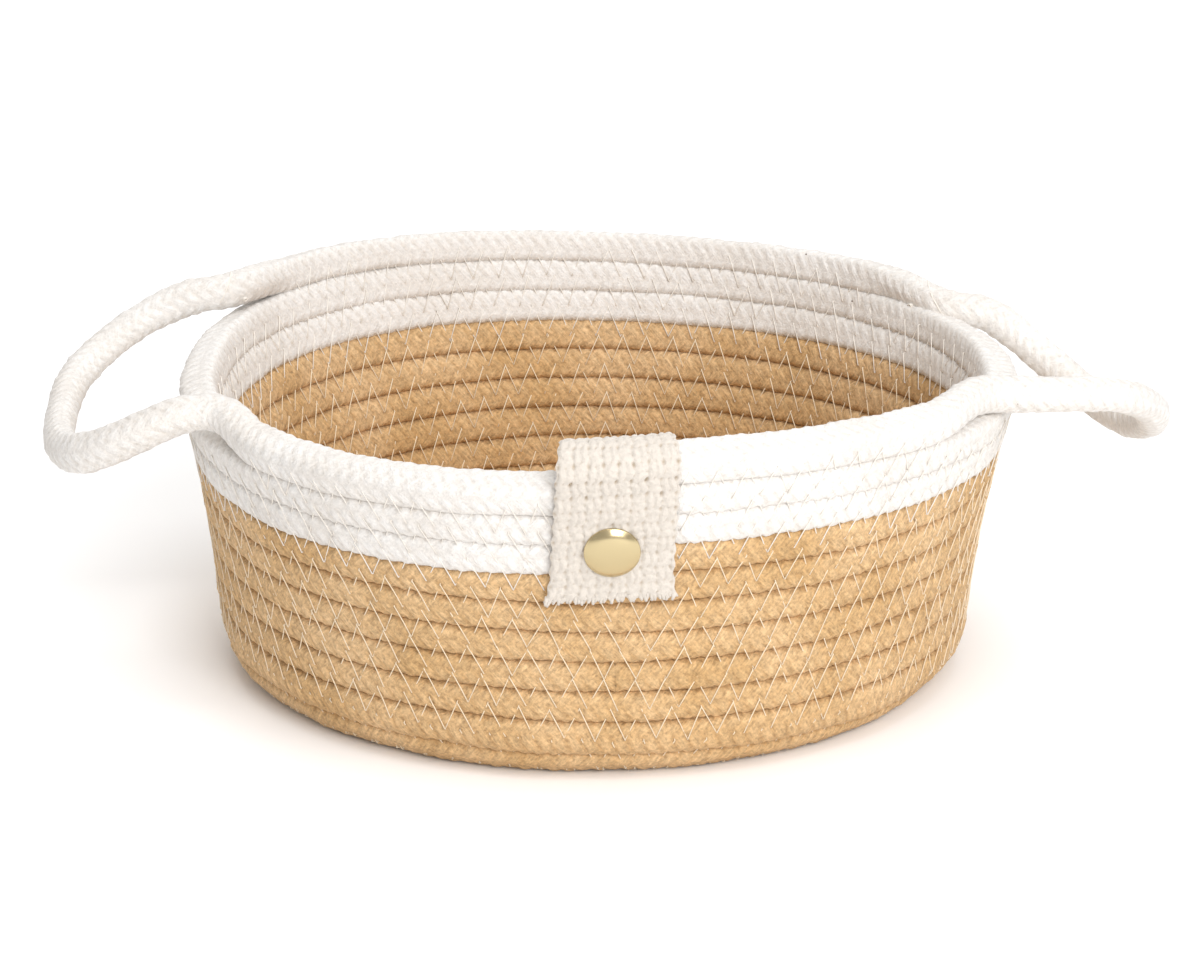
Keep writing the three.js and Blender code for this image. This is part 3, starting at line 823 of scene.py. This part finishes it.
cream_thread = thread_material("cream_thread", (0.79, 0.66, 0.48))
undyed_thread = thread_material("undyed_thread", (0.79, 0.74, 0.67))
seam_runs = run_of(turn_table, course_pitch / 2)
seam_start, seam_end = np.interp(
    [first_turn + seam_begins_after, last_turn - 1], turn_table, seam_runs
)
stitch = np.arange(np.ceil(seam_start / stitch_step), np.floor(seam_end / stitch_step) + 1)
chance = np.random.default_rng(21)
stitch_run = stitch * stitch_step + chance.uniform(-uneven_along, uneven_along, len(stitch))
stitch_turn = np.interp(stitch_run, seam_runs, turn_table)
stitch_end = np.where(stitch % 2 == 0, -1.0, 1.0) * stitch_reach
stitch_end = stitch_end + chance.uniform(-uneven_across, uneven_across, len(stitch))
seam_length = length_at(stitch_turn) + course_pitch / 2
sewn = np.ones(len(stitch), bool)
for handle in handles.values():
    start, end = (turn_at(handle[key], last_turn - 2) for key in ("leaves", "meets"))
    sewn &= (stitch_turn < start - unsewn_margin) | (stitch_turn > end + unsewn_margin)
sewn = sewn[:-1] & sewn[1:]
mid_turn = (stitch_turn[:-1] + stitch_turn[1:]) / 2
mid_length = length_at(mid_turn) + course_pitch / 2
mid_azimuth = azimuth_at(mid_turn)
left_of_tab = np.cos(mid_azimuth) < 0.1
tight = (stitch[:-1] % 2 == 0) == left_of_tab

for name, side in (("seam_thread_outside", 1), ("seam_thread_inside", -1)):
    proud = np.where(tight, tight_leg, sunk_leg)
    crown = side * (half_through + proud + chance.uniform(-uneven_out, uneven_out, len(sewn)))
    sunk = side * (half_through - end_depth)
    outward = wall_point(mid_length, crown, mid_azimuth) - wall_point(mid_length, 0.0, mid_azimuth)
    outward /= np.linalg.norm(outward, axis=1)[:, None]
    stops = []
    for ends, out, pull in [
        (slice(None, -1), sunk, 1.0), (slice(None, -1), crown, crown_pull),
        (slice(1, None), crown, crown_pull), (slice(1, None), sunk, 1.0),
    ]:
        place = seam_length[ends] + pull * stitch_end[ends]
        stops.append(wall_point(place, out, azimuth_at(stitch_turn[ends])))
    stops.insert(2, (stops[1] + stops[2]) / 2 - leg_sag * outward)
    routes = np.stack(stops, 1)[sewn]
    routes[..., 2] = np.maximum(routes[..., 2], thread_ground_gap)
    piece = threads(name, routes, outward[sewn], thread_radius, thread_sides)
    piece.data.materials.append(cream_thread)
    piece.data.materials.append(undyed_thread)
    in_white = (mid_turn[sewn] > tan_courses - 1).astype(np.int32)
    piece.data.polygons.foreach_set("material_index", np.concatenate([
        np.repeat(in_white, (thread_stops - 1) * thread_sides),
        np.repeat(in_white, 2 * thread_sides),
    ]))
    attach(piece, "basket")

# Lock stitches. At the rear root of each handle the seam ends with a heavier thread that slants
# over the rim to the seam inside and is knotted off there, so that the seam can't tear open.
lock_thread_radius = 0.00027
lock_slants = {29.2: 0.0104, 151.0: -0.006}
knot_radius = 0.0005
knot_height = 0.0012
knot_row = 22
over_rim = np.arange(5, -12, -1) % len(rope_rows)
share = np.linspace(-0.3, 1, len(over_rim))
coil = np.linspace(0, 5 * np.pi, len(over_rim))[:, None]
routes, outward = [], []
for azimuth, slant in lock_slants.items():
    at = ring_at(azimuth)
    along = at + np.round(slant / step_length * share).astype(int)
    pull = np.interp(share, [-0.3, -0.15, 0.9, 1], [0.85, 1.035, 1.035, 0.85])[:, None]
    bare = rim_rings[along, over_rim] - rim_route[along]
    routes.append(smoothed(rim_route[along] + bare * pull, 1.5))
    outward.append(ahead[at])
    routes.append(
        rim_rings[at, knot_row]
        + knot_radius * (np.cos(coil) * ahead[at] + np.sin(coil) * above[at])
        - knot_height * (coil / coil[-1] - 0.3) * aside[at]
    )
    outward.append(aside[at])
piece = threads("lock_stitches", np.array(routes), np.array(outward), lock_thread_radius, 6)
piece.data.materials.append(undyed_thread)
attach(piece, "basket")

# Webbing tab. A length of undyed cotton webbing, woven two over two so that pinholes show at the
# corners of its pairs of yarns, is folded over the rim where the rope begins and ends. Its cut
# ends are raw, and it sits a little askew.
tab_width = 0.0292
tab_thickness = 0.0018
tab_flap = 0.035
tab_clearance = 0.0003
tab_fold_height = 0.005
tab_skew = 0.038
flared_length, flare_share, corner_curl = 0.007, 0.07, 0.0007
press_depth, press_radius = 0.00055, 0.0085
groove_sink = 0.0001
warp_pair = 0.0035
weft_pair = 0.0043
warp_relief = 0.00036
weft_relief = 0.00028
weave_rise = 0.00042
pinhole_depth = 0.0004
pinhole_across, pinhole_along = 0.00027, 0.00045
samples_per_yarn = 6
yarn_height = 0.0008
selvedge_width, edge_bulge = 0.0011, 0.00022
ragged_length, ragged_reach = 0.004, 0.00045
hem_length = 0.0012
half_ground = 0.00022
rivet_shift = -0.00115
rivet_length = length_at(tan_courses) + course_pitch / 2

tab_top = length_at(last_turn)
tab_stand_off = half_through + tab_clearance + tab_thickness / 2 + groove_sink
fold_reach = tab_fold_height + tab_thickness / 2
fold_angle = np.linspace(0, np.pi, 400)
fold_arc = [fold_reach * np.sin(fold_angle), tab_stand_off * np.cos(fold_angle)]
fold_run = run_along(np.stack(fold_arc, -1))
tab_length = 2 * tab_flap + fold_run[-1]


def tab_path(place):
    """Middle of the webbing at distances from its outer cut end: up the outer flap, over the rim in
    half an ellipse and down the inner flap. Returns length over the wall's profile, distance
    outward, and the cloth's own normal in those two directions."""
    turn = np.interp(place - tab_flap, fold_run, fold_angle)
    beyond = np.maximum(place - tab_flap - fold_run[-1], 0)
    length = tab_top + np.minimum(place - tab_flap, 0) - beyond + fold_reach * np.sin(turn)
    outward = tab_stand_off * np.cos(turn)
    tilt = np.hypot(np.cos(turn) / tab_stand_off, np.sin(turn) / fold_reach)
    return length, outward, np.sin(turn) / fold_reach / tilt, np.cos(turn) / tab_stand_off / tilt


def tab_point(across, place, offset):
    """Point of the webbing at a distance across from its middle line and along from its outer cut
    end, lifted off its middle surface by offset. It is skewed on the wall, pressed in round the
    rivet, sinks a little over each groove of the rope and flares at its cut corners."""
    length, outward, normal_up, normal_out = tab_path(place)
    below = tab_top - length
    from_end = np.minimum(place, tab_length - place)
    near_end = np.clip(1 - from_end / flared_length, 0, 1) ** 2
    x = across * (1 + flare_share * near_end) - tab_skew * below
    side = np.sign(outward)
    from_rivet = np.hypot(x - rivet_shift, length - rivet_length)
    flap = np.abs(outward) / tab_stand_off
    groove = (length - length_at(last_turn - 1)) / course_pitch
    press = press_depth * np.exp(-((from_rivet / press_radius) ** 4))
    press = press + groove_sink * np.cos(2 * np.pi * (groove - 0.5))
    curl = corner_curl * near_end * (np.abs(across) / (tab_width / 2)) ** 3
    out = outward + side * flap * (curl - press) + offset * normal_out
    up = length + tab_skew * across * flap + offset * normal_up
    return wall_point(up, out, -np.pi / 2 + x / wall_profile(length)[0])


def weave(across, place):
    """Heights of both faces of the cloth, in metres, from a matt weave: pairs of warp yarns and of
    weft yarns take turns on top, each yarn is round across, and the higher one shows, less a
    bell-shaped pinhole at each corner of the pairs. The pinholes are deepest 1 mm under the fold,
    which draws the yarns apart. On the back the turns are swapped."""
    x = across / warp_pair + 0.09 * wander(place, 0.011, 12)
    y = place / weft_pair + 0.09 * wander(across, 0.009, 13)
    warp_round = 1 - (2 * ((2 * x) % 1) - 1) ** 2
    weft_round = 1 - (2 * ((2 * y) % 1) - 1) ** 2
    warp_rise = np.cos(np.pi * (y - 0.5) + np.pi * np.floor(x))
    weft_rise = -np.cos(np.pi * (x - 0.5) + np.pi * np.floor(y))
    aside = (x - np.round(x)) * warp_pair / pinhole_across
    along = (y - np.round(y)) * weft_pair / pinhole_along
    under_fold = tab_flap - np.minimum(place, tab_length - place)
    pinhole = pinhole_depth * (0.45 + 0.85 * np.exp(-(((under_fold - 0.001) / 0.006) ** 2)))
    pinhole = pinhole * np.clip(1 + 0.6 * wander(across + place, 0.016, 4), 0.2, 1.5)
    pinhole = pinhole * np.exp(-(aside**2 + along**2) / 2)
    return [np.maximum(
        warp_relief * warp_round + rise * warp_rise, weft_relief * weft_round + rise * weft_rise
    ) - pinhole for rise in (weave_rise, -weave_rise)]


x_count = int(round(tab_width / (warp_pair / 2) * samples_per_yarn))
y_count = int(round(tab_length / (weft_pair / 2) * samples_per_yarn))
across = np.linspace(-tab_width / 2, tab_width / 2, x_count + 1)[:, None]
place = np.linspace(0, tab_length, y_count + 1)[None]
face, back = weave(across + 100 * warp_pair + 0.0002, place)
selvedge = np.clip((tab_width / 2 - np.abs(across)) / selvedge_width, 0, 1)
hem = np.clip(np.minimum(place, tab_length - place) / hem_length, 0, 1)
edge = np.sqrt(1 - (1 - selvedge) ** 2) * np.sqrt(1 - (1 - hem) ** 2)
ragged = ragged_reach * (
    wander(across, 0.0042, 8) * np.clip(1 - place / ragged_length, 0, 1)
    - wander(across, 0.0047, 9) * np.clip(1 - (tab_length - place) / ragged_length, 0, 1)
)
edge_wave = edge_bulge * np.cos(2 * np.pi * place / weft_pair) * (1 - selvedge) * np.sign(across)

# The two faces of the cloth lie on one grid each, and a row of faces along the grids' edge joins
# them into a closed shell.
points = np.stack([
    tab_point(across + edge_wave, place + ragged, sign * (half_ground + height) * edge)
    for sign, height in ((1, face), (-1, back))
])
rows, columns = face.shape
count = rows * columns
i, j = np.indices((rows - 1, columns - 1))
front = np.stack([i, i + 1, i + 1, i], -1) * columns + np.stack([j, j, j + 1, j + 1], -1)
front = front.reshape(-1, 4)
outline = np.concatenate([
    np.arange(columns - 1),
    columns - 1 + columns * np.arange(rows - 1),
    count - 1 - np.arange(columns - 1),
    columns * np.arange(rows - 1, 0, -1),
])
after = np.roll(outline, -1)
joined = np.stack([outline, outline + count, after + count, after], -1)
quads = np.concatenate([front[:, ::-1], front + count, joined[:, ::-1]])
# The relief of both faces is also the mark by which the material paints shade in the pinholes and
# between the yarns.
raised_yarns = np.stack([face, back]) / yarn_height
flat = np.stack(np.broadcast_arrays(across / warp_pair, place / weft_pair), -1).reshape(-1, 2)
webbing = put_mesh(
    "webbing_tab_cloth", points.reshape(-1, 3), quads, np.zeros((0, 3), int),
    {"raised": raised_yarns}, np.tile(flat, (2, 1))[quads],
)


def webbing_material(name, light, painted_shade_colour):
    """Coarse natural cotton webbing: off-white yarns with painted shade, warmer and darker, where
    they lie low and down in the pinholes, and a fine fuzz in the relief."""
    material, nodes = new_material(name)
    cloud = noise(nodes, add(nodes, "TexCoord", {})["Object"], 1000.0, 4.0)
    tones = [(*[share * c for c in light], 1) for share in (0.8, 1.12)]
    raised = add(nodes, "Attribute", {}, attribute_name="raised")["Fac"]
    # Painted shade: where the weave's relief mark is low, between the yarns and in the pinholes,
    # the colour is drawn towards the warm dark shade colour.
    hollow = map_range(nodes, raised, -0.35, 0.45, 0.9, 0.0)
    colour = mix_colours(nodes, hollow, mix_colours(nodes, cloud, *tones), (*painted_shade_colour, 1))
    fuzz = add(nodes, "Bump", {"Height": cloud, "Strength": 0.8, "Distance": 0.0006})[0]
    feed(nodes["Principled BSDF"], {
        "Base Color": colour, "Normal": fuzz, "Roughness": 0.95, "Specular IOR Level": 0.2,
        "Sheen Weight": 0.3,
    })
    return material


# The second colour is the painted shade in the pinholes and between the yarns.
natural_webbing = webbing_material("natural_webbing", (0.64, 0.585, 0.52), (0.42, 0.34, 0.25))
webbing.data.materials.append(natural_webbing)
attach(webbing, "basket")
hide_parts("webbing_tab")

# Frayed ends. At both cuts the warp yarns stick out past the last weft as short tufts of cotton,
# which taper, bend aside and stand off, no two alike.
tufts = 34
tuft_root = 0.0016
tuft_radius = 0.00062
tuft_lift = 0.0002
chance = np.random.default_rng(34)
tuft_across = np.repeat(np.linspace(-1, 1, tufts), 2) * (tab_width / 2 - 0.0006)
tuft_across = tuft_across + chance.uniform(-0.0002, 0.0002, 2 * tufts)
at_outer = np.tile([True, False], tufts)
tuft_reach = chance.uniform(0.0002, 0.0010, 2 * tufts)
share = np.linspace(0, 1, 4)
inward = tuft_root - (tuft_root + tuft_reach[:, None]) * share
sway = chance.uniform(-0.0006, 0.0006, 2 * tufts)[:, None] * share**2
lift = chance.uniform(-0.0002, 0.0006, 2 * tufts)[:, None] * share**2
routes = tab_point(
    tuft_across[:, None] + sway,
    np.where(at_outer[:, None], inward, tab_length - inward),
    lift + tuft_lift,
)
front_way = np.tile([[0.0, -1.0, -0.2]], (2 * tufts, 1))
tapered = tuft_radius * (1 - 0.45 * share**2)
fray = threads("webbing_frayed_ends", routes, front_way, tapered, 7)
fray.data.materials.append(natural_webbing)
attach(fray, "basket")

# Double cap rivet. A pressed brass cap with a rolled edge and a low dome at the front, and inside
# the basket the head of the hollow post that it is set on. Both are polished pale gold.
cap_radius = 0.00705
cap_height = 0.0027
cap_rim = 0.0009
cap_sink = 0.0007
back_radius = 0.0060
back_height = 0.0018
back_rim = 0.0008
back_sink = 0.0004
post_radius = 0.0020
rivet_clearance = 0.0003
rivet_seat = half_through + tab_clearance + tab_thickness + rivet_clearance
turned_steps = 96

rivet_azimuth = -np.pi / 2 + rivet_shift / wall_profile(rivet_length)[0]
rivet_centre = wall_point(rivet_length, 0.0, rivet_azimuth)
rivet_axis = wall_point(rivet_length, 0.001, rivet_azimuth) - rivet_centre
rivet_axis /= np.linalg.norm(rivet_axis)
rivet_aside = np.array([-np.sin(rivet_azimuth), np.cos(rivet_azimuth), 0.0])
rivet_above = np.cross(rivet_aside, rivet_axis)


def turned(name, radius, along):
    """Solid of revolution about the rivet's axis from a row of radii and distances along it, both
    ends closed by a fan to the axis."""
    angle = 2 * np.pi * np.arange(turned_steps) / turned_steps
    spokes = np.cos(angle)[:, None] * rivet_aside + np.sin(angle)[:, None] * rivet_above
    rings = rivet_centre + rivet_axis * along[:, None, None] + radius[:, None, None] * spokes
    ends = rivet_centre + rivet_axis * along[[0, -1], None]
    points = np.concatenate([rings.reshape(-1, 3), ends])
    return put_mesh(name, points, *tube_faces(len(radius), turned_steps))


def rivet_head(radius, height, rim, seat):
    """Outline of a pressed cap from its flat underside, round the rolled edge and over a low dome,
    whose fall is a sum of the second and the fifth power of the radius."""
    roll = np.linspace(-np.pi / 2, np.pi / 2 * 0.62, 14)
    edge_r = radius - rim / 2 + rim / 2 * np.cos(roll)
    edge_z = seat + rim / 2 + rim / 2 * np.sin(roll)
    dome = np.linspace(edge_r[-1], 0.0002, 26)[1:]
    share = dome / edge_r[-1]
    rise = seat + height - edge_z[-1]
    dome_z = edge_z[-1] + rise * (1 - 0.55 * share**2 - 0.45 * share**5)
    outline_r = np.concatenate([[radius * 0.35, radius * 0.8], edge_r, dome])
    return outline_r, np.concatenate([[seat, seat], edge_z, dome_z])


brass, nodes = new_material("pale_gold_brass")
scuff = noise(nodes, add(nodes, "TexCoord", {})["Object"], 700.0, 5.0)
feed(nodes["Principled BSDF"], {
    "Base Color": (0.60, 0.49, 0.285, 1), "Metallic": 1.0,
    "Roughness": map_range(nodes, scuff, 0.0, 1.0, 0.16, 0.30),
})

cap = turned("rivet_front_cap", *rivet_head(cap_radius, cap_height, cap_rim, rivet_seat - cap_sink))
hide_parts("rivet_cap")
radius, along = rivet_head(back_radius, back_height, back_rim, rivet_seat - back_sink)
post_r = np.array([post_radius * 0.6, post_radius, post_radius])
post_z = np.array([-rivet_seat, -rivet_seat + back_sink, rivet_seat - back_sink])
post = turned(
    "rivet_back_and_post", np.concatenate([post_r, radius]), np.concatenate([post_z, along]) * -1
)
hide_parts("rivet_post")
for piece in (cap, post):
    piece.data.materials.append(brass)
    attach(piece, "basket")
